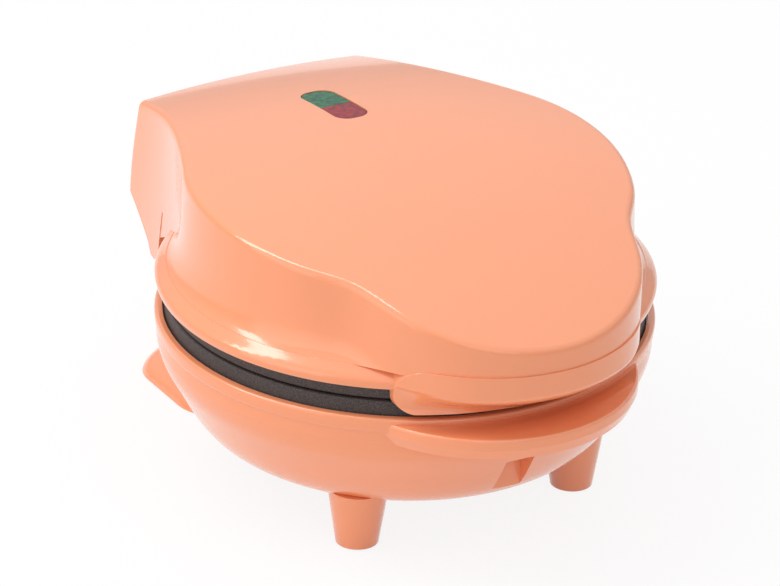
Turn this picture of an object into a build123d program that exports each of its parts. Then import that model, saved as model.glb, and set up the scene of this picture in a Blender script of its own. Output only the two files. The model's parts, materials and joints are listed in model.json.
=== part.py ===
from build123d import *
import os
from math import atan, cos, exp, log, pi, radians, sin, sqrt, tan

# Mini waffle maker: a round base on two conical feet and a flared rear stand,
# a hinged lid with a handle nose, and two cast waffle plates with ring heaters.
# Millimetres. The origin is on the ground, under the middle of the overall box.
# The front (handle) points to -Y, the hinge to +Y.

# Plan of the housings: overhangs and insets are measured from the round rim
rim_radius = 67.5
lobe_overhang = 13.2
lobe_round_inset = 26.0
lobe_neck = 7.0
nose_overhang = 12.5
nose_round_inset = 26.0
nose_blend = 1.5
crown_wall_inset = 7.3
block_overhang = 25.5

# Heights: the rim stands above the ground, the rest in steps above the rim
rim_height = 46.0
plate_rise = 5.4
lid_edge_rise = 4.6
lid_height = 36.0

# Walls and running clearances
shell_wall = 2.2
plate_gap = 0.4
seat_gap = 0.05
fit_gap = 0.3
press_gap = 0.01

# Base bowl
bowl_bottom = 14.2
bowl_flat_inset = 21.5
bowl_shoulder_inset = 10.1
bowl_shoulder_rise = 6.0
bowl_waist_inset = 4.3
bowl_waist_rise = 16.0
bowl_top_inset = 0.5
flange_height = 6.0
flange_land = 3.0
flange_draft = 22.0
flange_edge_round = 0.8
flange_sink = 0.1
rim_opening_inset = 5.5
rim_land = 3.0
rim_bead_rise = 1.5
rim_bead_depth = 2.8

# Front feet, rear stand and their rubber pads
foot_ring_inset = 19.7
foot_bottom_radius = 5.8
foot_draft = 8.5
stand_half_width = 38.9
stand_overhang = 19.5
stand_front_inset = 24.5
stand_corner = 13.0
stand_edge = 3.0
stand_waist = 12.0
stand_waist_half_width = 29.0
column_half_width = 27.0
column_overhang = 4.5
column_front_inset = 17.5
column_top = 36.0
column_corner = 3.0
neck_inset = 4.0
neck_overlap = 8.0
pad_radius = 4.2
pad_thickness = 1.4
pad_proud = 0.5
rear_pad_spread = 29.5
rear_pad_inset = 10.0

# Cord clip groove in the front of the bowl
clip_half_width = 4.3
clip_inset = 11.0
clip_depth = 20.0
clip_shift = -2.2
clip_top = 30.5

# Hinge
hinge_overhang = 10.0
hinge_rise = 4.5
barrel_radius = 10.6
barrel_chamfer = 1.0
barrel_half_length = 31.0
hinge_pin_radius = 2.5
hinge_pin_length = 15.0
hinge_running_gap = 0.06
cheek_inner = 33.7
cheek_outer = 35.9
boss_radius = 6.0
pin_skin = 1.4

# Cast plates
plate_inset = 3.0
plate_skirt_inset = 2.3
plate_cavity_inset = 15.0
plate_cavity_depth = 7.8
plate_floor = 2.6
plate_draft_in = 1.6
plate_skirt_wall = 3.6
plate_edge_round = 0.9
overflow_inset = 5.3
overflow_half_width = 0.8
overflow_depth = 0.8
peg_pitch = 14.8
peg_base = 9.6
peg_height = 5.6
peg_draft = 14.0
peg_wall_gap = 1.0
peg_least_share = 0.6
pegs_across = 7

# Heaters, clamps and shields, behind each plate
heater_ring_radius = 34.0
heater_tube_radius = 3.2
heater_gap_angle = 36.0
heater_bend_radius = 6.0
heater_leg = 8.0
heater_rib_half = 5.0
heater_rib = 2.4
heater_terminal_radius = 1.2
heater_terminal_length = 6.0
clamp_length = 20.0
clamp_width = 8.0
clamp_thickness = 1.2
clamp_post_radius = 2.6
clamp_post_spread = 7.2
clamp_rivet_radius = 1.3
clamp_rivet_proud = 0.6
clamp_angles = [0, 180, 235, 305]
shield_gap = 1.5
shield_thickness = 0.8
shield_lip = 4.0
shield_standoff = 8.6
post_radius = 4.0
pillar_extra = 0.5
post_inset = 6.7
post_angles = [30, 150, 270]
screw_radius = 1.5
screw_head_radius = 3.0
screw_head_height = 2.0
screw_engagement = 6.0
screw_slot_length = 3.8
screw_slot_width = 0.7
screw_slot_depth = 0.8
rim_screw_head_radius = 2.8
rim_screw_head_height = 1.4

# Lamp window in the crown
lamp_length = 25.0
lamp_width = 10.0
lamp_corner = 4.2
lamp_inset = 27.9
lamp_window_depth = 12.0
lens_recess = 0.15
lens_gap = 0.2
lens_flange = 1.3
lens_flange_height = 1.8
lens_split_shift = -0.9
lens_split_gap = 0.1
lamp_holder_wall = 1.2
lamp_holder_depth = 9.0
neon_radius = 2.3
neon_length = 9.0

# Thermostat and thermal fuse on the back of the upper plate
thermostat_radius = 8.0
thermostat_height = 4.2
thermostat_cap_radius = 5.6
thermostat_cap_height = 1.8
thermostat_tab = 6.0
thermostat_tab_width = 4.0
thermostat_tab_thickness = 0.8
fuse_radius = 1.9
fuse_length = 11.0
fuse_lead_radius = 0.5
fuse_lead_length = 5.0
fuse_place = (-20.0, 4.0)

# Cord inlet and terminal block in the column of the stand
gland_height = 22.0
gland_bore_radius = 3.3
gland_body_radius = 5.0
gland_flange_radius = 6.6
gland_flange = 1.6
gland_body_length = 9.0
block_length = 22.0
block_width = 9.0
block_height = 9.0
terminal_block_inset = 8.5
terminal_spread = 6.0
terminal_screw_radius = 2.0
terminal_screw_length = 5.0

# Crown: an arch from front to rear, slightly crowned from side to side
arch_radius = 235.0
arch_peak_reach = 19.0
crown_side_radius = 450.0
crown_edge_fillet = 2.2
lid_level_points = 32
lid_levels_count = 11
lid_flare = 6.2
lid_flare_rise = 3.0
lid_flare_height = 3.4
lid_draft = 0.02
lid_wall_rise = 5.0
lid_rim_tuck = 0.3
lid_rim_belly = 1.5
lid_rim_width = 8.0
flare_cover = 0.25
crown_stock = 2.0
crown_tool_span = 150.0
crown_tool_height = 40.0

# Rear block and skirt of the lid
block_flank_angle = 24.0
block_rear_taper = 0.13
block_corner = 2.8
block_bow_angle = 3.0
block_lean = 9.6
block_lean_power = 1.4
block_level_count = 5
cheek_edge_drop = 2.6
cheek_drop = 10.0
# the cheek's lower edge, from its throat at the front to its tail at the rear
cheek_throat = 7.0
cheek_toe = 2.5
cheek_toe_rise = 3.0
cheek_foot_start = 1.5
cheek_foot_end = 5.0
cheek_heel = 7.5
cheek_heel_rise = 2.7
cheek_tail = 15.0
cheek_tail_rise = 7.1
skirt_drop = 6.4
skirt_rise = 7.7
skirt_proud = 0.4
skirt_half_width = 37.4
skirt_low_corner = 4.5
skirt_high_corner = 7.0
skirt_wall_gap = 0.7
undercut_top_rise = 1.6
undercut_levels = 4
undercut_depth = 14.0
undercut_power = 1.7
skirt_root_inset = 2.5
skirt_root_proud = 0.8
lid_boss_radius = 3.2
lid_boss_height = 8.0
lid_screw_inset = 9.5
lid_screw_angles = [45, 135, 225, 315]

# Reaches and radii about the rim axis
lobe_reach = rim_radius + lobe_overhang
nose_reach = rim_radius + nose_overhang
lobe_radius = rim_radius - lobe_round_inset
nose_radius = rim_radius - nose_round_inset
crown_wall_radius = rim_radius - crown_wall_inset
block_reach = rim_radius + block_overhang
stand_reach = rim_radius + stand_overhang
stand_front = rim_radius - stand_front_inset
column_reach = rim_radius + column_overhang
column_front = rim_radius - column_front_inset
hinge_reach = rim_radius + hinge_overhang
clip_reach = rim_radius - clip_inset
rim_opening_radius = rim_radius - rim_opening_inset
plate_radius = rim_radius - plate_inset
plate_skirt_radius = rim_radius - plate_skirt_inset
plate_cavity_radius = rim_radius - plate_cavity_inset
overflow_radius = rim_radius - overflow_inset
shield_radius = plate_cavity_radius - shield_gap
post_ring_radius = plate_cavity_radius - post_inset
lid_screw_ring = rim_radius - lid_screw_inset
lamp_reach = rim_radius - lamp_inset
lens_split_reach = lamp_reach + lens_split_shift
terminal_block_reach = rim_radius - terminal_block_inset
foot_offset = (rim_radius - foot_ring_inset) * cos(pi / 4)

# Heights above the ground
parting_height = rim_height + plate_rise
lid_edge_height = parting_height + lid_edge_rise
crown_height = lid_edge_height + lid_height
lid_flare_start = lid_edge_height + lid_flare_rise
lid_wall_start = lid_edge_height + lid_wall_rise
hinge_height = rim_height + hinge_rise
skirt_bottom = lid_edge_height - skirt_drop
skirt_top = lid_edge_height + skirt_rise
undercut_top = lid_edge_height + undercut_top_rise
lower_rim_top = parting_height - plate_gap / 2
upper_rim_bottom = parting_height + plate_gap / 2
bowl_floor = bowl_bottom + shell_wall
foot_bottom = pad_proud
upper_seat = 2 * parting_height - rim_height

# Other places
rim_y = (lobe_reach - block_reach) / 2
hinge_y = rim_y + hinge_reach
front_pad_places = [(-foot_offset, -foot_offset), (foot_offset, -foot_offset)]
rear_pad_places = [(side * rear_pad_spread, stand_reach - rear_pad_inset) for side in (-1, 1)]
pad_places = front_pad_places + rear_pad_places
plate_back = lower_rim_top - plate_cavity_depth - plate_floor
heater_height = plate_back - heater_tube_radius
clamp_top = heater_height - heater_tube_radius - seat_gap
shield_top = plate_back - shield_standoff - seat_gap
room_floor = foot_bottom + 2.5
room_top = rim_height - 5.0


def rim_plane(height, offset=0.0):
    """Horizontal plane at a height, centred on the rim axis."""
    return Plane(origin=(0, rim_y + offset, height))


def side_plane(x):
    """Plane square to X: its own x runs to the rear from the rim axis, its y runs up."""
    return Plane(origin=(x, rim_y, 0), x_dir=(0, 1, 0), z_dir=(1, 0, 0))


def across_plane(reach):
    """Plane square to Y: its own x runs along X, its y runs up."""
    return Plane(origin=(0, rim_y + reach, 0), x_dir=(1, 0, 0), z_dir=(0, -1, 0))


rim_section = Plane(origin=(0, rim_y, 0), x_dir=(1, 0, 0), z_dir=(0, -1, 0))
rim_axis = Axis((0, rim_y, 0), (0, 0, 1))
hinge_axis = Axis((0, hinge_y, hinge_height), (1, 0, 0))


def around(radius, angles):
    """Places on a ring about the rim axis at the given angles."""
    return [(radius * cos(radians(a)), radius * sin(radians(a))) for a in angles]


def finish_piece(builder, name):
    """Labels a finished piece and writes its STEP file."""
    builder.part.label = name
    export_step(builder.part, "parts/" + name + ".step")


os.makedirs("parts", exist_ok=True)

# Base shell

shoulder_lean = radians(38)
waist_lean = radians(16)
bowl_top_slope = 0.1


def bowl_profile(inset, top):
    """Half section of the bowl, drawn in from its outside by an inset."""
    with BuildSketch(rim_section) as profile:
        with BuildLine():
            floor = bowl_bottom + inset
            flat_end = (rim_radius - bowl_flat_inset, floor)
            shoulder = (rim_radius - bowl_shoulder_inset, bowl_bottom + bowl_shoulder_rise)
            waist = (rim_radius - bowl_waist_inset, bowl_bottom + bowl_waist_rise)
            wall_top = (rim_radius - bowl_top_inset - inset, rim_height - flange_height)
            Line((0, floor), flat_end)
            Spline(
                flat_end,
                (shoulder[0] - inset * cos(shoulder_lean), shoulder[1] + inset * sin(shoulder_lean)),
                (waist[0] - inset * cos(waist_lean), waist[1] + inset * sin(waist_lean)),
                wall_top,
                tangents=[(1, 0), (bowl_top_slope, 1)],
            )
            Polyline(wall_top, (wall_top[0], top), (0, top), (0, floor))
        make_face()
    return profile.sketch


def housing_plan(plane, radius, reach, nose, neck):
    """Round plan with a round handle in front, joined by tangent neck arcs."""
    center = Vector(0, nose - reach)
    height = ((radius + neck) ** 2 - (nose + neck) ** 2 + center.Y ** 2) / (2 * center.Y)
    neck_center = Vector(sqrt((radius + neck) ** 2 - height ** 2), height)
    on_body = neck_center * (radius / (radius + neck))
    on_nose = center + (neck_center - center) * (nose / (nose + neck))
    neck_middle = neck_center + ((on_body + on_nose) * 0.5 - neck_center).normalized() * neck
    with BuildSketch(plane) as plan:
        with BuildLine():
            ThreePointArc((-on_nose.X, on_nose.Y), (0, -reach), on_nose)
            ThreePointArc(on_nose, neck_middle, on_body)
            ThreePointArc(on_body, (0, radius), (-on_body.X, on_body.Y))
            ThreePointArc(
                (-on_body.X, on_body.Y), (-neck_middle.X, neck_middle.Y), (-on_nose.X, on_nose.Y)
            )
        make_face()
    return plan.sketch


with BuildPart() as bowl_space:
    revolve(bowl_profile(shell_wall, rim_height - rim_land), rim_axis)
    # material behind the clip groove stays
    with BuildSketch(rim_plane(bowl_bottom)):
        with Locations((clip_shift, -(clip_reach - shell_wall))):
            Rectangle(2 * (clip_half_width + shell_wall), clip_depth, align=(Align.CENTER, Align.MAX))
    extrude(amount=clip_top - bowl_bottom + shell_wall, mode=Mode.SUBTRACT)


def stand_level(height, half_width, front, reach, corner):
    """One level of the rear stand."""
    with BuildSketch(rim_plane(height)) as level:
        with Locations((0, (front + reach) / 2)):
            RectangleRounded(2 * half_width, reach - front, corner)
    return level.sketch


with BuildPart() as stand:
    waist_level = stand_level(
        stand_waist, stand_waist_half_width, column_front - 2, column_reach + 1, column_corner + 2
    )
    loft(
        [
            stand_level(foot_bottom, stand_half_width, stand_front, stand_reach, stand_corner),
            stand_level(stand_edge, stand_half_width - 1, stand_front + 1, stand_reach - 1, stand_corner),
            stand_level(
                2 * stand_edge,
                (stand_half_width + stand_waist_half_width) / 2,
                stand_front + 3,
                (stand_reach + column_reach) / 2 + 4,
                stand_corner - 2,
            ),
            waist_level,
        ]
    )
    loft([waist_level, stand_level(column_top, column_half_width, column_front, column_reach, column_corner)])

# The barrel of the hinge, with chamfered ends
with BuildPart() as hinge_barrel:
    with BuildSketch(side_plane(-barrel_half_length)):
        with Locations((hinge_reach, hinge_height)):
            Circle(barrel_radius)
    extrude(amount=2 * barrel_half_length)
    chamfer(hinge_barrel.edges().filter_by(GeomType.CIRCLE), barrel_chamfer)

with BuildPart() as base_shell:
    revolve(bowl_profile(0, rim_height - 1), rim_axis)
    flange_round = rim_radius - bowl_top_inset - flange_sink
    flange_plan = housing_plan(rim_plane(rim_height), flange_round, lobe_reach, lobe_radius, lobe_neck)
    extrude(flange_plan, amount=-flange_land)
    flange_skirt = flange_plan.moved(Location((0, 0, -flange_land)))
    extrude(flange_skirt, amount=flange_land - flange_height, taper=flange_draft)
    flange_top = base_shell.faces().sort_by(Axis.Z)[-1]
    fillet(flange_top.edges(), flange_edge_round)
    # rounded bead of the rim, a low wall around the plate
    with BuildSketch(rim_section):
        with BuildLine():
            bead_inner = plate_skirt_radius + fit_gap
            bead_top = rim_height + rim_bead_rise
            bead_middle = (rim_radius + bead_inner) / 2
            bead_base = rim_height - rim_bead_depth
            Line((bead_middle, bead_top), (bead_inner, bead_top))
            Line((bead_inner, bead_top), (bead_inner, bead_base))
            Line((bead_inner, bead_base), (flange_round, bead_base))
            Spline(
                (flange_round, bead_base),
                (rim_radius, rim_height - rim_bead_rise / 2),
                (bead_middle, bead_top),
                tangents=[(1, 1), (-1, 0)],
            )
        make_face()
    revolve(axis=rim_axis)
    add(bowl_space.part, mode=Mode.SUBTRACT)
    with BuildSketch(rim_plane(rim_height - rim_land)):
        Circle(rim_opening_radius)
    extrude(amount=2 * rim_land, mode=Mode.SUBTRACT)
    add(stand.part)
    # conical front feet
    with BuildSketch(rim_plane(foot_bottom)):
        with Locations(*front_pad_places):
            Circle(foot_bottom_radius)
    extrude(amount=bowl_bottom + shell_wall, taper=-foot_draft)
    # neck from the column to the hinge barrel
    neck_front = column_front + neck_inset
    neck_bottom = column_top - neck_overlap
    with BuildSketch(side_plane(-barrel_half_length)):
        with BuildLine():
            Polyline(
                (neck_front, neck_bottom),
                (neck_front, rim_height),
                (rim_radius - bowl_top_inset, rim_height),
                (hinge_reach, hinge_height),
                (column_reach, column_top),
                (column_reach, neck_bottom),
                close=True,
            )
        make_face()
    extrude(amount=2 * barrel_half_length)
    add(hinge_barrel.part)
    # room for the wiring behind the bowl
    room_half_width = column_half_width - 2 * shell_wall
    with BuildSketch(rim_plane(room_floor)):
        with Locations((0, (column_front + column_reach) / 2 - shell_wall)):
            Rectangle(2 * room_half_width, column_reach - column_front)
    extrude(amount=room_top - room_floor, mode=Mode.SUBTRACT)
    # the plate's recess and the rim opening again, through the neck
    with BuildSketch(rim_plane(rim_height)):
        Circle(bead_inner)
    extrude(amount=barrel_radius, mode=Mode.SUBTRACT)
    with BuildSketch(rim_plane(room_top)):
        Circle(rim_opening_radius)
    extrude(amount=2 * barrel_radius, mode=Mode.SUBTRACT)
    # screw pillars, with a clearance hole and a counterbore for the head
    pillar_places = around(post_ring_radius, post_angles)
    pillar_top = shield_top - shield_thickness - seat_gap
    with BuildSketch(rim_plane(bowl_floor - shell_wall / 2)):
        with Locations(*pillar_places):
            Circle(post_radius + pillar_extra)
    extrude(amount=pillar_top - bowl_floor + shell_wall / 2)
    with BuildSketch(rim_plane(0)):
        with Locations(*pillar_places):
            Circle(screw_radius + fit_gap)
    extrude(amount=pillar_top + shell_wall, mode=Mode.SUBTRACT)
    with BuildSketch(rim_plane(0)):
        with Locations(*pillar_places):
            Circle(screw_head_radius + fit_gap)
    extrude(amount=bowl_floor + screw_head_height, mode=Mode.SUBTRACT)
    # cord clip groove
    with BuildSketch(rim_plane(0)):
        with Locations((clip_shift, -clip_reach)):
            Rectangle(2 * clip_half_width, clip_depth, align=(Align.CENTER, Align.MAX))
    extrude(amount=clip_top, mode=Mode.SUBTRACT)
    # recesses for the rubber pads
    with BuildSketch(rim_plane(foot_bottom)):
        with Locations(*pad_places):
            Circle(pad_radius + seat_gap)
    extrude(amount=pad_thickness - pad_proud + seat_gap, mode=Mode.SUBTRACT)
    # cord inlet through the rear wall of the column
    with BuildSketch(across_plane(block_reach)):
        with Locations((0, gland_height)):
            Circle(gland_body_radius + seat_gap)
    extrude(amount=block_reach - column_reach + gland_body_length, mode=Mode.SUBTRACT)
    with BuildSketch(across_plane(block_reach)):
        with Locations((0, gland_height)):
            Circle(gland_flange_radius + fit_gap)
    extrude(amount=block_reach - column_reach, mode=Mode.SUBTRACT)
    # hinge pin bores
    for side in (-1, 1):
        with BuildSketch(side_plane(side * (barrel_half_length + 1))):
            with Locations((hinge_reach, hinge_height)):
                Circle(hinge_pin_radius + hinge_running_gap)
        extrude(amount=-side * (hinge_pin_length + 1), mode=Mode.SUBTRACT)

finish_piece(base_shell, "base_shell")


# Lid shell


def nose_circle(angle):
    """Distance from the rim axis to the round handle nose, at an angle from the front."""
    forward = nose_reach - nose_radius
    # beside the nose there is no wall of it, so the half chord is nothing
    half_chord = sqrt(max(0.0, nose_radius**2 - (forward * sin(angle)) ** 2))
    return forward * cos(angle) + half_chord


def lid_level(height, radius, nose_inset, inset):
    """One level of the lid: a circle that runs smoothly into the handle nose, drawn in by an inset."""
    points = []
    for step in range(lid_level_points):
        angle = 2 * pi * step / lid_level_points
        rise = (nose_circle(angle) - nose_inset - radius) / nose_blend
        reach = radius + nose_blend * log(1 + exp(rise)) - inset
        points.append((reach * sin(angle), -reach * cos(angle)))
    with BuildSketch(rim_plane(height)) as level:
        with BuildLine():
            Spline(points, periodic=True)
        make_face()
    return level.sketch


def lid_radius(height):
    """Radius of the round lid wall at a height: steep above, flared out towards the rim."""
    draft = (crown_height - height) * lid_draft
    return crown_wall_radius + draft + lid_flare * exp((lid_flare_start - height) / lid_flare_height)


def lid_levels(inset):
    """Evenly spaced levels of the lid wall, drawn in by an inset."""
    top = crown_height + crown_stock
    step = (top - lid_wall_start) / (lid_levels_count - 1)
    heights = [lid_wall_start + step * i for i in range(lid_levels_count)]
    return [lid_level(z, lid_radius(z), 0, inset) for z in heights]


def skirt_level(height):
    """One level of the skirt: the full nose, undercut towards its lower edge."""
    depth = max(0.0, (undercut_top - height) / (undercut_top - skirt_bottom))
    radius = rim_radius - skirt_root_inset + depth * (skirt_root_inset + skirt_root_proud)
    return lid_level(height, radius, undercut_depth * depth**undercut_power, -skirt_proud)


def crown_tool(drop):
    """Everything above the crown, lowered by a drop: a ring turned about a low axis along Y."""
    turn = Plane(
        origin=(0, rim_y + arch_peak_reach, crown_height - crown_side_radius),
        x_dir=(0, 1, 0),
        z_dir=(-1, 0, 0),
    )
    span = crown_tool_span
    side = crown_side_radius - drop
    top = side + crown_tool_height
    sag = arch_radius - sqrt(arch_radius**2 - span**2)
    with BuildPart() as tool:
        with BuildSketch(turn):
            with BuildLine():
                ThreePointArc((-span, side - sag), (0, side), (span, side - sag))
                Polyline((span, side - sag), (span, top), (-span, top), (-span, side - sag))
            make_face()
        revolve(axis=Axis(turn.origin, (0, 1, 0)))
    return tool.part


def block_plan(height, reach, inset):
    """Plan of the rear block: its sides sweep in from the round wall to the hinge cheeks."""
    half = cheek_outer - inset
    flank = crown_wall_radius - inset
    turn = radians(block_flank_angle)
    start = (flank * cos(turn), flank * sin(turn))
    bow = radians(block_bow_angle)
    turn_in = atan(block_rear_taper)
    corner_x = half - block_corner * (cos(turn_in) - sin(bow))
    corner = (corner_x, reach - inset - corner_x * tan(bow / 2))
    side = (half, corner[1] - block_corner * (cos(bow) - sin(turn_in)))
    with BuildSketch(rim_plane(height)) as plan:
        with BuildLine():
            flank_line = Spline(start, side, tangents=[(-sin(turn), cos(turn)), (-block_rear_taper, 1)])
            corner_line = TangentArc(side, corner, tangent=(-block_rear_taper, 1))
            ThreePointArc(corner, (0, reach - inset), (-corner[0], corner[1]))
            mirror(corner_line, Plane.YZ)
            mirror(flank_line, Plane.YZ)
            Polyline((-start[0], start[1]), (0, 0), start)
        make_face()
    return plan.sketch


def block_levels(inset):
    """Levels of the rear block: its rear wall leans forward as it rises, more and more."""
    low = lid_edge_height - cheek_edge_drop
    step = (crown_height + crown_stock - low) / (block_level_count - 1)
    levels = []
    for i in range(block_level_count):
        lean = block_lean * (i / (block_level_count - 1)) ** block_lean_power
        levels.append(block_plan(low + step * i, block_reach - lean, inset))
    return levels


with BuildPart() as block:
    loft(block_levels(0))
    cheek_plan = block_plan(lid_edge_height - cheek_edge_drop, block_reach, 0)
    extrude(cheek_plan, amount=-2 * cheek_drop)
    # side view: the cheeks reach down around the hinge, the rear edge rises from them
    with BuildSketch(side_plane(-rim_radius)):
        with BuildLine():
            low = hinge_height - cheek_drop
            cheek_front = hinge_reach - cheek_drop
            top = crown_height + 2 * crown_stock
            Polyline(
                (0, top),
                (0, lid_wall_start),
                (cheek_front - cheek_throat, lid_flare_start),
                (cheek_front - cheek_toe, low + cheek_toe_rise),
                (cheek_front + cheek_foot_start, low),
                (cheek_front + cheek_foot_end, low),
                (cheek_front + cheek_heel, low + cheek_heel_rise),
                (cheek_front + cheek_tail, low + cheek_tail_rise),
                (block_reach, lid_edge_height - cheek_edge_drop),
                (block_reach, top),
                close=True,
            )
        make_face()
    extrude(amount=2 * rim_radius, mode=Mode.INTERSECT)

with BuildPart() as block_space:
    loft(block_levels(cheek_outer - cheek_inner))
    cheek_space = block_plan(lid_edge_height - cheek_edge_drop, block_reach, cheek_outer - cheek_inner)
    extrude(cheek_space, amount=-3 * cheek_drop)
    add(crown_tool(shell_wall), mode=Mode.SUBTRACT)

with BuildPart() as lid_space:
    loft(lid_levels(shell_wall))
    add(crown_tool(shell_wall), mode=Mode.SUBTRACT)
    # the screw bosses are left standing along the inside of the wall
    with BuildSketch(rim_plane(upper_seat)):
        with Locations(*around(lid_screw_ring, lid_screw_angles)):
            Circle(lid_boss_radius)
    extrude(amount=lid_boss_height, mode=Mode.SUBTRACT)

# The grip skirt under the nose: a band on the nose's plan with an undercut for the fingers
with BuildPart() as skirt:
    step = (undercut_top - skirt_bottom) / (undercut_levels - 1)
    loft([skirt_level(skirt_bottom + step * i) for i in range(undercut_levels)])
    extrude(skirt_level(undercut_top), amount=skirt_top - undercut_top)
    with BuildSketch(across_plane(0)) as skirt_view:
        with Locations((0, (skirt_bottom + skirt_top) / 2)):
            Rectangle(2 * skirt_half_width, skirt_top - skirt_bottom)
        fillet(skirt_view.vertices().group_by(Axis.Y)[0], skirt_low_corner)
        fillet(skirt_view.vertices().group_by(Axis.Y)[-1], skirt_high_corner)
    extrude(amount=nose_reach + crown_stock, mode=Mode.INTERSECT)
    with BuildSketch(rim_plane(skirt_bottom)):
        Circle(plate_skirt_radius + skirt_wall_gap)
    extrude(amount=lid_edge_height - skirt_bottom, mode=Mode.SUBTRACT)

with BuildPart() as lid_outer:
    loft(lid_levels(0))
    # rounded rim of the lid, running into the flared wall
    with BuildSketch(rim_section):
        with BuildLine():
            rim_low = (rim_radius - lid_rim_tuck, lid_edge_height)
            rim_high = (lid_radius(lid_wall_start) + flare_cover, lid_wall_start)
            rim_inner = rim_radius - lid_rim_width
            slope = lid_flare / lid_flare_height * exp((lid_flare_start - lid_wall_start) / lid_flare_height)
            Spline(
                rim_low,
                (rim_radius, lid_edge_height + lid_rim_belly),
                rim_high,
                tangents=[(lid_rim_tuck, lid_rim_belly), (-slope, 1)],
            )
            Polyline(rim_high, (rim_inner, lid_wall_start), (rim_inner, lid_edge_height), rim_low)
        make_face()
    revolve(axis=rim_axis)

with BuildPart() as hinge_chamber:
    add(block_space.part)
    add(lid_outer.part, mode=Mode.SUBTRACT)
    # the inner bosses of the cheeks are left standing
    for side in (-1, 1):
        with BuildSketch(side_plane(side * (barrel_half_length + fit_gap))):
            with Locations((hinge_reach, hinge_height)):
                Circle(boss_radius)
        extrude(amount=side * (cheek_outer - barrel_half_length), mode=Mode.SUBTRACT)


def lamp_slot(plane, grow):
    """The lamp window's outline, grown or shrunk by an amount all round."""
    with BuildSketch(plane) as slot:
        with Locations((0, lamp_reach)):
            RectangleRounded(lamp_width + 2 * grow, lamp_length + 2 * grow, lamp_corner + grow)
    return slot.sketch


with BuildPart() as lid_shell:
    add(block.part)
    add(lid_outer.part)
    add(crown_tool(0), mode=Mode.SUBTRACT)
    crown = lid_shell.faces().sort_by(Axis.Z)[-1]
    fillet(crown.outer_wire().edges(), crown_edge_fillet)
    add(skirt.part)
    # hollow: the hinge chamber keeps the round wall, then the plate chamber
    add(hinge_chamber.part, mode=Mode.SUBTRACT)
    add(lid_space.part, mode=Mode.SUBTRACT)
    with BuildSketch(rim_plane(skirt_bottom)):
        Circle(plate_skirt_radius + fit_gap)
    extrude(amount=upper_seat - skirt_bottom, mode=Mode.SUBTRACT)
    with BuildSketch(rim_plane(upper_seat)):
        Circle(rim_opening_radius)
        with Locations(*around(lid_screw_ring, lid_screw_angles)):
            Circle(lid_boss_radius, mode=Mode.SUBTRACT)
    extrude(amount=lid_wall_start - upper_seat + fit_gap, mode=Mode.SUBTRACT)
    # pilot holes for the plate screws, and the blind holes for the hinge pins
    with BuildSketch(rim_plane(upper_seat)):
        with Locations(*around(lid_screw_ring, lid_screw_angles)):
            Circle(screw_radius + seat_gap)
    extrude(amount=lid_boss_height - 2, mode=Mode.SUBTRACT)
    for side in (-1, 1):
        with BuildSketch(side_plane(side * barrel_half_length)):
            with Locations((hinge_reach, hinge_height)):
                Circle(hinge_pin_radius + press_gap)
        extrude(amount=side * (cheek_outer - pin_skin - barrel_half_length), mode=Mode.SUBTRACT)
    # lamp window
    extrude(lamp_slot(rim_plane(crown_height), 0), amount=-lamp_window_depth, mode=Mode.SUBTRACT)

finish_piece(lid_shell, "lid_shell")


# Cast plates


def plate_profile():
    """Half section of the lower plate: cavity, rim with its overflow groove, and skirt."""
    with BuildSketch(rim_section) as profile:
        with BuildLine():
            floor = lower_rim_top - plate_cavity_depth
            rim_back = lower_rim_top - plate_floor
            edge = (plate_radius, lower_rim_top - plate_edge_round)
            Polyline(
                (0, plate_back),
                (0, floor),
                (plate_cavity_radius - plate_draft_in, floor),
                (plate_cavity_radius, lower_rim_top),
                (overflow_radius - overflow_half_width, lower_rim_top),
            )
            ThreePointArc(
                (overflow_radius - overflow_half_width, lower_rim_top),
                (overflow_radius, lower_rim_top - overflow_depth),
                (overflow_radius + overflow_half_width, lower_rim_top),
            )
            Line(
                (overflow_radius + overflow_half_width, lower_rim_top),
                (plate_radius - plate_edge_round, lower_rim_top),
            )
            RadiusArc((plate_radius - plate_edge_round, lower_rim_top), edge, plate_edge_round)
            Polyline(
                edge,
                (plate_skirt_radius, rim_height + seat_gap),
                (plate_skirt_radius - plate_skirt_wall, rim_height + seat_gap),
                (plate_skirt_radius - plate_skirt_wall, rim_back),
                (plate_cavity_radius + plate_floor, rim_back),
                (plate_cavity_radius + plate_floor - plate_draft_in, plate_back),
                (0, plate_back),
            )
        make_face()
    return profile.sketch


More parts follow.
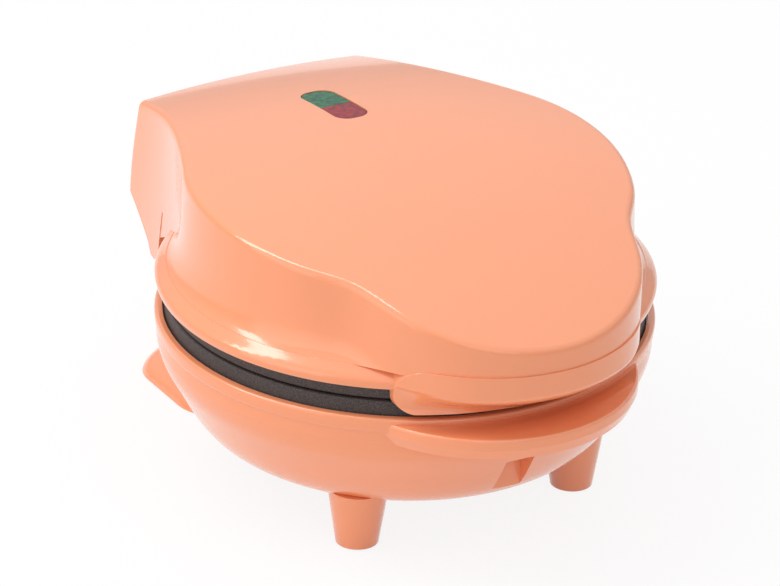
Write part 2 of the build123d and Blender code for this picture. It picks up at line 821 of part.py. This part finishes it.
with BuildPart() as lower_plate:
    revolve(plate_profile(), rim_axis)
    # waffle pegs, cut short where they meet the round wall
    with BuildSketch(rim_plane(lower_rim_top - plate_cavity_depth)) as peg_plan:
        with GridLocations(peg_pitch, peg_pitch, pegs_across, pegs_across):
            Rectangle(peg_base, peg_base)
        Circle(plate_cavity_radius - plate_draft_in - peg_wall_gap, mode=Mode.INTERSECT)
    whole_pegs = [peg for peg in peg_plan.sketch.faces() if peg.area > peg_least_share * peg_base**2]
    extrude(whole_pegs, amount=peg_height, taper=peg_draft)
    # raised bed for the heater
    bed_bottom = plate_back - heater_rib
    with BuildSketch(rim_plane(bed_bottom)):
        Circle(heater_ring_radius + heater_rib_half)
        Circle(heater_ring_radius - heater_rib_half, mode=Mode.SUBTRACT)
        with Locations((0, heater_ring_radius)):
            half_gap = heater_ring_radius * sin(radians(heater_gap_angle / 2)) + heater_tube_radius / 2
            Rectangle(2 * half_gap, 4 * heater_rib_half, mode=Mode.SUBTRACT)
    extrude(amount=heater_rib + plate_floor / 2)
    # posts for the clamps, each with a rivet end, and posts for the shield
    clamp_posts = around(heater_ring_radius - clamp_post_spread, clamp_angles)
    clamp_posts += around(heater_ring_radius + clamp_post_spread, clamp_angles)
    with BuildSketch(rim_plane(clamp_top + seat_gap)):
        with Locations(*clamp_posts):
            Circle(clamp_post_radius)
    extrude(amount=plate_back + plate_floor / 2 - clamp_top)
    with BuildSketch(rim_plane(clamp_top - clamp_thickness - clamp_rivet_proud)):
        with Locations(*clamp_posts):
            Circle(clamp_rivet_radius)
    extrude(amount=clamp_thickness + clamp_rivet_proud + 1)
    with BuildSketch(rim_plane(shield_top + seat_gap)):
        with Locations(*around(post_ring_radius, post_angles)):
            Circle(post_radius)
    extrude(amount=plate_back + plate_floor / 2 - shield_top)
    with BuildSketch(rim_plane(shield_top + seat_gap)):
        with Locations(*around(post_ring_radius, post_angles)):
            Circle(screw_radius + seat_gap)
    extrude(amount=screw_engagement + 1, mode=Mode.SUBTRACT)
    # groove that the heater tube lies in
    with BuildSketch(rim_section):
        with Locations((heater_ring_radius, heater_height)):
            Circle(heater_tube_radius + seat_gap)
    revolve(axis=rim_axis, mode=Mode.SUBTRACT)

finish_piece(lower_plate, "lower_plate")

meeting_plane = Plane.XY.offset(parting_height)

with BuildPart() as upper_plate:
    mirror(lower_plate.part, about=meeting_plane)
    # screws through the rim hold this plate to the bosses of the lid
    with BuildSketch(rim_plane(upper_seat - seat_gap)):
        with Locations(*around(lid_screw_ring, lid_screw_angles)):
            Circle(lid_boss_radius)
    extrude(amount=-(upper_seat - upper_rim_bottom - plate_floor / 2))
    with BuildSketch(rim_plane(upper_rim_bottom - 1)):
        with Locations(*around(lid_screw_ring, lid_screw_angles)):
            Circle(screw_radius + fit_gap)
    extrude(amount=upper_seat - upper_rim_bottom + 2, mode=Mode.SUBTRACT)
    with BuildSketch(rim_plane(upper_rim_bottom)):
        with Locations(*around(lid_screw_ring, lid_screw_angles)):
            Circle(rim_screw_head_radius + seat_gap)
    extrude(amount=rim_screw_head_height + seat_gap, mode=Mode.SUBTRACT)

finish_piece(upper_plate, "upper_plate")

# Heaters

with BuildPart() as lower_heater:
    ring_start = radians(90 + heater_gap_angle / 2)
    ring_end = (heater_ring_radius * cos(ring_start), heater_ring_radius * sin(ring_start))
    bend_center = (ring_end[0] * (1 + heater_bend_radius / heater_ring_radius),
                   ring_end[1] * (1 + heater_bend_radius / heater_ring_radius))
    leg_start = (bend_center[0] + heater_bend_radius, bend_center[1])
    bend_turn = (radians(heater_gap_angle / 2) + pi / 2) / 2
    bend_middle = (bend_center[0] + heater_bend_radius * sin(bend_turn),
                   bend_center[1] - heater_bend_radius * cos(bend_turn))
    with BuildLine(rim_plane(heater_height)) as heater_path:
        Line((leg_start[0], leg_start[1] + heater_leg), leg_start)
        ThreePointArc(leg_start, bend_middle, ring_end)
        ThreePointArc(ring_end, (0, -heater_ring_radius), (-ring_end[0], ring_end[1]))
        ThreePointArc((-ring_end[0], ring_end[1]), (-bend_middle[0], bend_middle[1]), (-leg_start[0], leg_start[1]))
        Line((-leg_start[0], leg_start[1]), (-leg_start[0], leg_start[1] + heater_leg))
    with BuildSketch(across_plane(leg_start[1] + heater_leg)):
        with Locations((leg_start[0], heater_height)):
            Circle(heater_tube_radius)
    sweep(path=heater_path.line)
    with BuildSketch(across_plane(leg_start[1] + heater_leg + heater_terminal_length)):
        with Locations((leg_start[0], heater_height), (-leg_start[0], heater_height)):
            Circle(heater_terminal_radius)
    extrude(amount=heater_terminal_length + 2)

finish_piece(lower_heater, "lower_heater")

with BuildPart() as lower_heater_clamps:
    for angle in clamp_angles:
        with BuildSketch(rim_plane(clamp_top)):
            with Locations(Location(around(heater_ring_radius, [angle])[0], angle)):
                SlotOverall(clamp_length, clamp_width)
        extrude(amount=-clamp_thickness)
    with BuildSketch(rim_plane(clamp_top)):
        with Locations(*clamp_posts):
            Circle(clamp_rivet_radius + seat_gap)
    extrude(amount=-clamp_thickness, mode=Mode.SUBTRACT)

finish_piece(lower_heater_clamps, "lower_heater_clamps")

with BuildPart() as lower_heat_shield:
    with BuildSketch(rim_plane(shield_top - shield_thickness)):
        Circle(shield_radius)
    extrude(amount=shield_thickness)
    with BuildSketch(rim_plane(shield_top - shield_thickness)):
        Circle(shield_radius)
        Circle(shield_radius - shield_thickness, mode=Mode.SUBTRACT)
    extrude(amount=shield_lip)
    with BuildSketch(rim_plane(shield_top - shield_thickness)):
        with Locations(*around(post_ring_radius, post_angles)):
            Circle(screw_radius + fit_gap)
    extrude(amount=shield_thickness, mode=Mode.SUBTRACT)

finish_piece(lower_heat_shield, "lower_heat_shield")

for lower_piece, upper_name in (
    (lower_heater, "upper_heater"),
    (lower_heater_clamps, "upper_heater_clamps"),
    (lower_heat_shield, "upper_heat_shield"),
):
    with BuildPart() as upper_piece:
        mirror(lower_piece.part, about=meeting_plane)
    finish_piece(upper_piece, upper_name)

# Screws


def pan_screws(seat, places, length, up):
    """Pan head screws: the heads rest on a seat, the shanks run up or down from it."""
    with BuildPart() as screws:
        with BuildSketch(rim_plane(seat)):
            with Locations(*places):
                Circle(screw_head_radius)
        extrude(amount=-up * screw_head_height)
        with BuildSketch(rim_plane(seat)):
            with Locations(*places):
                Circle(screw_radius)
        extrude(amount=up * length)
        with BuildSketch(rim_plane(seat - up * screw_head_height)):
            with Locations(*places):
                Rectangle(screw_slot_length, screw_slot_width)
                Rectangle(screw_slot_width, screw_slot_length)
        extrude(amount=up * screw_slot_depth, mode=Mode.SUBTRACT)
    return screws


post_places = around(post_ring_radius, post_angles)
head_seat = bowl_floor + screw_head_height - seat_gap

lower_plate_screws = pan_screws(head_seat, post_places, shield_top + screw_engagement - head_seat, 1)
finish_piece(lower_plate_screws, "lower_plate_screws")

upper_shield_top = 2 * parting_height - shield_top + shield_thickness

upper_shield_screws = pan_screws(
    upper_shield_top + seat_gap, post_places, shield_thickness + screw_engagement, -1
)
finish_piece(upper_shield_screws, "upper_shield_screws")

with BuildPart() as upper_plate_screws:
    rim_screw_places = around(lid_screw_ring, lid_screw_angles)
    with BuildSketch(rim_plane(upper_rim_bottom)):
        with Locations(*rim_screw_places):
            Circle(rim_screw_head_radius)
    extrude(amount=rim_screw_head_height)
    with BuildSketch(rim_plane(upper_rim_bottom)):
        with Locations(*rim_screw_places):
            Circle(screw_radius)
    extrude(amount=upper_seat - upper_rim_bottom + lid_boss_height - 3)
    with BuildSketch(rim_plane(upper_rim_bottom)):
        with Locations(*rim_screw_places):
            Rectangle(screw_slot_length, screw_slot_width)
            Rectangle(screw_slot_width, screw_slot_length)
    extrude(amount=screw_slot_depth, mode=Mode.SUBTRACT)

finish_piece(upper_plate_screws, "upper_plate_screws")

# Lamp: two lenses in one window, a neon under each, and the holder below

flange_end = lamp_reach + lamp_length / 2 + lens_flange
arch_drop = arch_radius - sqrt(arch_radius**2 - (flange_end - arch_peak_reach) ** 2)
flange_bottom = crown_height - shell_wall - arch_drop - seat_gap - lens_flange_height - 0.1


def lens(front, rear):
    """One lens of the lamp, between two reaches."""
    with BuildPart() as piece:
        extrude(lamp_slot(rim_plane(flange_bottom), -lens_gap), amount=lamp_window_depth)
        add(crown_tool(lens_recess), mode=Mode.SUBTRACT)
        extrude(lamp_slot(rim_plane(flange_bottom), lens_flange), amount=lens_flange_height)
        with BuildSketch(rim_plane(flange_bottom - 1)):
            with Locations((0, (front + rear) / 2)):
                Rectangle(2 * lamp_length, rear - front)
        extrude(amount=2 * lamp_window_depth, mode=Mode.INTERSECT)
    return piece


green_lens = lens(lens_split_reach + lens_split_gap / 2, lamp_reach + lamp_length)
finish_piece(green_lens, "green_lens")
red_lens = lens(lamp_reach - lamp_length, lens_split_reach - lens_split_gap / 2)
finish_piece(red_lens, "red_lens")

with BuildPart() as lamp_holder:
    holder_bottom = flange_bottom - seat_gap - lamp_holder_depth
    ledge = flange_bottom - seat_gap
    holder_room = lens_flange + fit_gap
    holder_stock = 2 * lamp_holder_depth
    extrude(lamp_slot(rim_plane(holder_bottom), holder_room + lamp_holder_wall), amount=holder_stock)
    add(crown_tool(shell_wall + seat_gap), mode=Mode.SUBTRACT)
    extrude(lamp_slot(rim_plane(ledge), holder_room), amount=holder_stock, mode=Mode.SUBTRACT)
    holder_floor = rim_plane(holder_bottom + lamp_holder_wall)
    extrude(lamp_slot(holder_floor, -lens_gap), amount=holder_stock, mode=Mode.SUBTRACT)

finish_piece(lamp_holder, "lamp_holder")


def neon(reach):
    """One neon capsule lying along Y on the floor of the lamp holder."""
    height = holder_bottom + lamp_holder_wall + neon_radius + seat_gap
    middle = Plane(origin=(0, rim_y + reach, height), x_dir=(0, 1, 0), z_dir=(1, 0, 0))
    half = neon_length / 2 - neon_radius
    with BuildPart() as capsule:
        with BuildSketch(middle):
            with BuildLine():
                Line((-half - neon_radius, 0), (half + neon_radius, 0))
                RadiusArc((half + neon_radius, 0), (half, neon_radius), -neon_radius)
                Line((half, neon_radius), (-half, neon_radius))
                RadiusArc((-half, neon_radius), (-half - neon_radius, 0), -neon_radius)
            make_face()
        revolve(axis=Axis(middle.origin, (0, 1, 0)))
    return capsule


green_neon = neon((lens_split_reach + lamp_reach + lamp_length / 2) / 2)
finish_piece(green_neon, "green_neon")
red_neon = neon((lens_split_reach + lamp_reach - lamp_length / 2) / 2)
finish_piece(red_neon, "red_neon")

# Thermostat and thermal fuse

upper_back = 2 * parting_height - plate_back

with BuildPart() as thermostat:
    with BuildSketch(rim_plane(upper_back + seat_gap)):
        Circle(thermostat_radius)
    extrude(amount=thermostat_height)
    with BuildSketch(rim_plane(upper_back + seat_gap + thermostat_height)):
        Circle(thermostat_cap_radius)
    extrude(amount=thermostat_cap_height)
    with BuildSketch(rim_plane(upper_back + seat_gap + thermostat_height)):
        Rectangle(2 * (thermostat_radius + thermostat_tab), thermostat_tab_width)
    extrude(amount=-thermostat_tab_thickness)

finish_piece(thermostat, "thermostat")

with BuildPart() as thermal_fuse:
    fuse_height = upper_back + seat_gap + fuse_radius
    fuse_plane = Plane(
        origin=(fuse_place[0], rim_y + fuse_place[1], fuse_height), x_dir=(1, 0, 0), z_dir=(0, 1, 0)
    )
    with BuildSketch(fuse_plane.offset(-fuse_length / 2)):
        Circle(fuse_radius)
    extrude(amount=fuse_length)
    with BuildSketch(fuse_plane.offset(-fuse_length / 2 - fuse_lead_length)):
        Circle(fuse_lead_radius)
    extrude(amount=fuse_length + 2 * fuse_lead_length)

finish_piece(thermal_fuse, "thermal_fuse")

# Hinge pins

with BuildPart() as hinge_pins:
    for side in (-1, 1):
        pin_inner = barrel_half_length - hinge_pin_length + fit_gap
        pin_outer = cheek_outer - pin_skin - seat_gap
        with BuildSketch(side_plane(side * pin_inner)):
            with Locations((hinge_reach, hinge_height)):
                Circle(hinge_pin_radius)
        extrude(amount=side * (pin_outer - pin_inner))

finish_piece(hinge_pins, "hinge_pins")

# Cord inlet and terminal block

with BuildPart() as cord_gland:
    with BuildSketch(across_plane(column_reach + seat_gap + gland_flange)):
        with Locations((0, gland_height)):
            Circle(gland_flange_radius)
    extrude(amount=gland_flange)
    with BuildSketch(across_plane(column_reach + 1)):
        with Locations((0, gland_height)):
            Circle(gland_body_radius)
    extrude(amount=gland_body_length)
    with BuildSketch(across_plane(column_reach + gland_flange + 1)):
        with Locations((0, gland_height)):
            Circle(gland_bore_radius)
    extrude(amount=gland_body_length + 4, mode=Mode.SUBTRACT)

finish_piece(cord_gland, "cord_gland")

with BuildPart() as terminal_block:
    with BuildSketch(rim_plane(room_floor + seat_gap)):
        with Locations((0, terminal_block_reach)):
            Rectangle(block_length, block_width)
    extrude(amount=block_height)
    with BuildSketch(rim_plane(room_floor + seat_gap + block_height)):
        with Locations((-terminal_spread, terminal_block_reach), (terminal_spread, terminal_block_reach)):
            Circle(terminal_screw_radius + seat_gap)
    extrude(amount=-terminal_screw_length, mode=Mode.SUBTRACT)

finish_piece(terminal_block, "terminal_block")

with BuildPart() as terminal_screws:
    with BuildSketch(rim_plane(room_floor + block_height - terminal_screw_length + 2 * seat_gap)):
        with Locations((-terminal_spread, terminal_block_reach), (terminal_spread, terminal_block_reach)):
            Circle(terminal_screw_radius)
    extrude(amount=terminal_screw_length - 0.5)

finish_piece(terminal_screws, "terminal_screws")

# Rubber pads

for places, pad_name in ((front_pad_places, "front_foot_pads"), (rear_pad_places, "rear_foot_pads")):
    with BuildPart() as pads:
        with BuildSketch():
            with Locations(*[(x, rim_y + y) for x, y in places]):
                Circle(pad_radius)
        extrude(amount=pad_thickness)
    finish_piece(pads, pad_name)
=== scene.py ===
import json
from math import cos, radians, sin

import bpy
from mathutils import Matrix, Vector
from mathutils.bvhtree import BVHTree

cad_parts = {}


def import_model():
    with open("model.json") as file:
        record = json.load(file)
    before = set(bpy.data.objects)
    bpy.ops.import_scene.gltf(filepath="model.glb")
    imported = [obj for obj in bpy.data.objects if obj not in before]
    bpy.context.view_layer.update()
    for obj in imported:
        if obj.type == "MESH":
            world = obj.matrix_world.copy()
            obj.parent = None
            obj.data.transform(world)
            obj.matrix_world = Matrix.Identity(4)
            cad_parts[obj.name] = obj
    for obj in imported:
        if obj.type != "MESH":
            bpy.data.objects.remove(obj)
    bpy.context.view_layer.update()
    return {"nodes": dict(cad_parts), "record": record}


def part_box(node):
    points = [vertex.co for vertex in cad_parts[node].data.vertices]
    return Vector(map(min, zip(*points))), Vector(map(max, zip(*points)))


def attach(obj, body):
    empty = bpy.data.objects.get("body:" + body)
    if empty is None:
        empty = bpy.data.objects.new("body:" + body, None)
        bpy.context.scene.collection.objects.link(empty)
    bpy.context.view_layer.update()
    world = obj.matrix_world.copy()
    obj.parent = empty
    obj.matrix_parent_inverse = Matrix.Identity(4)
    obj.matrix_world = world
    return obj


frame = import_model()
MM = 0.001

# The rim's axis, which the round plates share, in metres
plate_low, plate_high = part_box("lower_plate")
RIM_Y = (plate_low.y + plate_high.y) / 2


# Node helpers


class Shader:
    """A node material being built: add nodes, link them, and end at the surface."""

    def __init__(self, name):
        self.material = bpy.data.materials.new(name)
        self.material.use_nodes = True
        self.tree = self.material.node_tree
        self.tree.nodes.clear()
        self.output = self.tree.nodes.new("ShaderNodeOutputMaterial")
        self.surface = self.tree.nodes.new("ShaderNodeBsdfPrincipled")
        self.link(self.surface, "BSDF", self.output, "Surface")

    def node(self, kind, **settings):
        made = self.tree.nodes.new(kind)
        for key, value in settings.items():
            if key in made.inputs:
                made.inputs[key].default_value = value
            else:
                setattr(made, key, value)
        return made

    def link(self, source, output, target, name):
        self.tree.links.new(source.outputs[output], target.inputs[name])

    def set(self, **values):
        for key, value in values.items():
            self.surface.inputs[key.replace("_", " ")].default_value = value

    def place(self):
        """Position in the piece's own frame, which it carries along when it moves."""
        return self.node("ShaderNodeTexCoord")

    def noise(self, scale, detail=2.0, roughness=0.5):
        texture = self.node("ShaderNodeTexNoise", Scale=scale, Detail=detail, Roughness=roughness)
        self.link(self.place(), "Object", texture, "Vector")
        return texture

    def ramp(self, source, output, stops):
        """Colours over a value: a list of (position, colour)."""
        ramp = self.node("ShaderNodeValToRGB")
        elements = ramp.color_ramp.elements
        while len(elements) < len(stops):
            elements.new(0.5)
        for element, (position, color) in zip(elements, stops):
            element.position = position
            element.color = color
        self.link(source, output, ramp, "Fac")
        return ramp

    def remap(self, source, output, low, high):
        """The value, spread from low to high."""
        spread = self.node("ShaderNodeMapRange")
        spread.inputs["To Min"].default_value = low
        spread.inputs["To Max"].default_value = high
        self.link(source, output, spread, "Value")
        return spread

    def bump(self, source, output, distance, strength=1.0):
        bump = self.node("ShaderNodeBump", Distance=distance, Strength=strength)
        self.link(source, output, bump, "Height")
        self.link(bump, "Normal", self.surface, "Normal")


def shade(color, factor):
    """The colour, darker or lighter by a factor."""
    return (color[0] * factor, color[1] * factor, color[2] * factor, 1.0)


def linear(red, green, blue):
    """A screen colour from 0 to 255 as Blender's linear values."""
    def channel(value):
        value /= 255
        return value / 12.92 if value <= 0.04045 else ((value + 0.055) / 1.055) ** 2.4
    return (channel(red), channel(green), channel(blue))


# Materials


def coral_plastic():
    """Glossy moulded plastic with a faint flow in its colour and a fine orange peel."""
    m = Shader("coral_plastic")
    color = linear(243, 151, 106)
    flow = m.noise(9.0, 3.0)
    tint = m.ramp(flow, "Fac", [(0.3, shade(color, 0.985)), (0.7, shade(color, 1.015))])
    m.link(tint, "Color", m.surface, "Base Color")
    gloss = m.remap(m.noise(60.0, 3.0), "Fac", 0.16, 0.21)
    m.link(gloss, "Result", m.surface, "Roughness")
    m.set(IOR=1.5, Coat_Weight=0.5, Coat_Roughness=0.06)
    m.set(Subsurface_Weight=0.06, Subsurface_Scale=0.004, Subsurface_Radius=(1.0, 0.45, 0.25))
    m.bump(m.noise(1400.0, 2.0), "Fac", 0.00002, 0.35)
    return m.material


def nonstick_coat():
    """Dark non-stick coat with pale and dark speckles."""
    m = Shader("nonstick_coat")
    color = linear(66, 57, 55)
    speckle = m.noise(2600.0, 3.0, 0.7)
    tint = m.ramp(
        speckle, "Fac", [(0.35, shade(color, 0.45)), (0.5, shade(color, 1.0)), (0.68, shade(color, 1.9))]
    )
    m.link(tint, "Color", m.surface, "Base Color")
    m.link(m.remap(m.noise(900.0, 3.0), "Fac", 0.42, 0.62), "Result", m.surface, "Roughness")
    m.set(IOR=1.45)
    m.bump(speckle, "Fac", 0.00012, 0.6)
    return m.material


def metal(name, color, rough, grain=(600.0, 600.0, 600.0)):
    """Bare metal with a grain in its gloss."""
    m = Shader(name)
    m.set(Metallic=1.0)
    stretch = m.node("ShaderNodeMapping", Scale=grain)
    m.link(m.place(), "Object", stretch, "Vector")
    texture = m.node("ShaderNodeTexNoise", Scale=1.0, Detail=3.0)
    m.link(stretch, "Vector", texture, "Vector")
    tint = m.ramp(texture, "Fac", [(0.3, shade(color, 0.9)), (0.7, shade(color, 1.06))])
    m.link(tint, "Color", m.surface, "Base Color")
    m.link(m.remap(texture, "Fac", rough - 0.08, rough + 0.08), "Result", m.surface, "Roughness")
    m.bump(texture, "Fac", 0.00003, 0.4)
    return m.material


def moulded(name, color, rough, grain=900.0):
    """Plain moulded plastic, ceramic or rubber with a fine grain."""
    m = Shader(name)
    texture = m.noise(grain, 3.0)
    tint = m.ramp(texture, "Fac", [(0.3, shade(color, 0.93)), (0.7, shade(color, 1.05))])
    m.link(tint, "Color", m.surface, "Base Color")
    m.link(m.remap(texture, "Fac", rough - 0.06, rough + 0.06), "Result", m.surface, "Roughness")
    m.bump(texture, "Fac", 0.00003, 0.5)
    return m.material


def tinted_lens(name, deep, pale, streak):
    """Tinted clear plastic over the lamp's mottled inside."""
    m = Shader(name)
    texture = m.noise(streak, 3.0, 0.6)
    tint = m.ramp(texture, "Fac", [(0.36, (*deep, 1.0)), (0.66, (*pale, 1.0))])
    m.link(tint, "Color", m.surface, "Base Color")
    m.link(m.remap(texture, "Fac", 0.18, 0.26), "Result", m.surface, "Roughness")
    m.set(IOR=1.33)
    m.bump(texture, "Fac", 0.00008, 0.3)
    return m.material


def neon_glass():
    """Clear glass of the small neon lamps."""
    m = Shader("neon_glass")
    texture = m.noise(300.0)
    m.link(m.remap(texture, "Fac", 0.04, 0.1), "Result", m.surface, "Roughness")
    m.set(Transmission_Weight=0.9, IOR=1.48, Base_Color=(0.96, 0.9, 0.84, 1.0))
    return m.material


MATERIALS = {
    "coral_shell": coral_plastic(),
    "nonstick_plate": nonstick_coat(),
    "heater_tube": metal("heater_tube", linear(120, 116, 112), 0.42),
    "shield_steel": metal("shield_steel", linear(196, 196, 194), 0.34, (120.0, 1500.0, 1500.0)),
    "zinc_screw": metal("zinc_screw", linear(186, 186, 180), 0.3),
    "pin_steel": metal("pin_steel", linear(180, 180, 180), 0.26, (60.0, 1800.0, 1800.0)),
    "terminal_plastic": moulded("terminal_plastic", linear(236, 230, 214), 0.5),
    "holder_plastic": moulded("holder_plastic", linear(232, 226, 214), 0.48),
    "cord_rubber": moulded("cord_rubber", linear(232, 222, 212), 0.55),
    "pad_rubber": moulded("pad_rubber", linear(46, 46, 46), 0.75, 1600.0),
    "green_lens": tinted_lens("green_lens", linear(2, 64, 42), linear(8, 116, 76), 600.0),
    "red_lens": tinted_lens("red_lens", linear(108, 8, 22), linear(166, 28, 42), 600.0),
    "neon_glass": neon_glass(),
    "thermostat_metal": metal("thermostat_metal", linear(206, 206, 206), 0.3),
    "fuse_body": moulded("fuse_body", linear(238, 236, 228), 0.4),
}


def dress_nodes():
    """Gives every CAD node its finish."""
    for part in frame["record"]["subparts"]:
        piece = frame["nodes"][part["node"]]
        piece.data.materials.clear()
        piece.data.materials.append(MATERIALS[part["material_slot"]])


dress_nodes()


# Webs that carry the rear block's sides down between the hinge cheeks and the lid's rim

# Reaches are measured from the rim's axis, heights from the ground
WEB_FRONT = 48.5 * MM
WEB_REAR = 66.0 * MM
WEB_COLUMNS = 19
WEB_TOP = 60.4 * MM
WEB_FRONT_LOW = 57.2 * MM
WEB_REAR_LOW = 48.5 * MM
WEB_WALL = 1.6 * MM
WEB_TUCK = 0.12 * MM
OUTSIDE = 0.2


def outer_face(shell, y, z):
    """How far from the middle plane a web's face lies, just inside the shell's outer face."""
    hit = shell.ray_cast(Vector((-OUTSIDE, y, z)), Vector((1, 0, 0)))[0]
    return abs(hit.x) - WEB_TUCK


def cheek_web(name, side, shell):
    """A curved wall that follows the block's side above and leans out to the cheek at its rear."""
    rear_y = RIM_Y + WEB_REAR
    lean = outer_face(shell, rear_y, WEB_REAR_LOW) - outer_face(shell, rear_y, WEB_TOP)
    rows = []
    for column in range(WEB_COLUMNS):
        share = column / (WEB_COLUMNS - 1)
        y = RIM_Y + WEB_FRONT + share * (WEB_REAR - WEB_FRONT)
        low = WEB_FRONT_LOW + share * (WEB_REAR_LOW - WEB_FRONT_LOW)
        high_x = outer_face(shell, y, WEB_TOP)
        low_x = high_x + share * lean
        section = [(high_x, WEB_TOP), (low_x, low), (low_x - WEB_WALL, low), (high_x - WEB_WALL, WEB_TOP)]
        rows.append([(side * x, y, z) for x, z in section])
    points = [point for row in rows for point in row]
    corners = len(rows[0])
    faces = [tuple(reversed(range(corners))), tuple(range(len(points) - corners, len(points)))]
    for column in range(WEB_COLUMNS - 1):
        for corner in range(corners):
            here = corners * column + corner
            beside = corners * column + (corner + 1) % corners
            faces.append((here, beside, beside + corners, here + corners))
    # the left web is the mirror image, so its faces turn the other way
    if side < 0:
        faces = [tuple(reversed(face)) for face in faces]
    mesh = bpy.data.meshes.new(name)
    mesh.from_pydata(points, [], faces)
    mesh.materials.append(MATERIALS["coral_shell"])
    web = bpy.data.objects.new(name, mesh)
    bpy.context.scene.collection.objects.link(web)
    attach(web, "lid")


lid_mesh = frame["nodes"]["lid_shell"].data
lid_faces = BVHTree.FromPolygons([v.co for v in lid_mesh.vertices], [f.vertices for f in lid_mesh.polygons])
cheek_web("cheek_web_left", -1, lid_faces)
cheek_web("cheek_web_right", 1, lid_faces)


# Floor, light and camera

FLOOR_SIZE = 8.0
FLOOR_WHITE = 0.88


def floor():
    """Pale floor that keeps the object's shadow and otherwise shows white."""
    bpy.ops.mesh.primitive_plane_add(size=FLOOR_SIZE, location=(0, 0, 0))
    plane = bpy.context.object
    plane.name = "floor"
    m = Shader("pale_floor")
    m.set(Base_Color=(0.9, 0.9, 0.9, 1.0), Roughness=0.6)
    white = m.node("ShaderNodeEmission", Color=(1.0, 1.0, 1.0, 1.0), Strength=1.0)
    rays = m.node("ShaderNodeLightPath")
    direct = m.node("ShaderNodeMath", operation="MAXIMUM")
    m.link(rays, "Is Camera Ray", direct, 0)
    m.link(rays, "Is Glossy Ray", direct, 1)
    share = m.node("ShaderNodeMath", operation="MULTIPLY")
    share.inputs[1].default_value = FLOOR_WHITE
    m.link(direct, "Value", share, 0)
    mixed = m.node("ShaderNodeMixShader")
    m.link(share, "Value", mixed, "Fac")
    m.tree.links.new(m.surface.outputs["BSDF"], mixed.inputs[1])
    m.tree.links.new(white.outputs["Emission"], mixed.inputs[2])
    m.link(mixed, "Shader", m.output, "Surface")
    plane.data.materials.append(m.material)


def softbox(name, place, target, width, height, power):
    """A rectangular soft light that faces a target."""
    data = bpy.data.lights.new(name, "AREA")
    data.shape = "RECTANGLE"
    data.size = width
    data.size_y = height
    data.energy = power
    lamp = bpy.data.objects.new(name, data)
    bpy.context.scene.collection.objects.link(lamp)
    lamp.location = place
    lamp.rotation_euler = (Vector(place) - Vector(target)).to_track_quat("Z", "Y").to_euler()


def world(horizon, zenith, mirrored):
    """Pale sky that brightens upwards, stronger in mirror images; the background itself shows white."""
    made = bpy.data.worlds.new("surroundings")
    bpy.context.scene.world = made
    made.use_nodes = True
    tree = made.node_tree
    background = tree.nodes["Background"]
    background.inputs["Color"].default_value = (1.0, 1.0, 1.0, 1.0)
    direction = tree.nodes.new("ShaderNodeTexCoord")
    upward = tree.nodes.new("ShaderNodeSeparateXYZ")
    tree.links.new(direction.outputs["Generated"], upward.inputs["Vector"])
    sky = tree.nodes.new("ShaderNodeMapRange")
    sky.inputs["To Min"].default_value = horizon
    sky.inputs["To Max"].default_value = zenith
    tree.links.new(upward.outputs["Z"], sky.inputs["Value"])
    rays = tree.nodes.new("ShaderNodeLightPath")
    glossy = tree.nodes.new("ShaderNodeMapRange")
    glossy.inputs["To Min"].default_value = 1.0
    glossy.inputs["To Max"].default_value = mirrored
    tree.links.new(rays.outputs["Is Glossy Ray"], glossy.inputs["Value"])
    strength = tree.nodes.new("ShaderNodeMath")
    strength.operation = "MULTIPLY"
    tree.links.new(sky.outputs["Result"], strength.inputs[0])
    tree.links.new(glossy.outputs["Result"], strength.inputs[1])
    seen = tree.nodes.new("ShaderNodeMapRange")
    seen.inputs["To Max"].default_value = 1.0
    tree.links.new(rays.outputs["Is Camera Ray"], seen.inputs["Value"])
    tree.links.new(strength.outputs["Value"], seen.inputs["To Min"])
    tree.links.new(seen.outputs["Result"], background.inputs["Strength"])


def camera():
    """The photograph's view: angles in degrees, the rest in metres."""
    azimuth, elevation, roll = radians(-31.562), radians(26.114), radians(1.542)
    distance, side_shift, look_height = 1.2394, -0.00409, 0.05063
    back = Vector((sin(azimuth) * cos(elevation), -cos(azimuth) * cos(elevation), sin(elevation)))
    right = Vector((cos(azimuth), sin(azimuth), 0.0))
    up = back.cross(right)
    turned_right = cos(roll) * right + sin(roll) * up
    turned_up = cos(roll) * up - sin(roll) * right
    data = bpy.data.cameras.new("camera")
    data.lens = 212.3
    data.sensor_width = 36.0
    data.clip_start = 0.05
    data.clip_end = 20.0
    view = bpy.data.objects.new("camera", data)
    bpy.context.scene.collection.objects.link(view)
    turn = Matrix((turned_right, turned_up, back)).transposed()
    place = back * distance + right * side_shift + Vector((0.0, RIM_Y, look_height))
    view.matrix_world = Matrix.Translation(place) @ turn.to_4x4()
    bpy.context.scene.camera = view


floor()
MIDDLE = (0.0, 0.0, 0.05)
softbox("strip", (-0.55, 0.25, 0.95), MIDDLE, 0.2, 1.1, 5.6)
softbox("left", (-1.15, -0.1, 0.42), MIDDLE, 0.9, 0.8, 2.2)
softbox("front", (-0.45, -1.3, 0.6), MIDDLE, 0.9, 0.7, 1.5)
world(horizon=0.26, zenith=0.96, mirrored=1.85)
camera()
bpy.context.scene.view_settings.view_transform = "Standard"
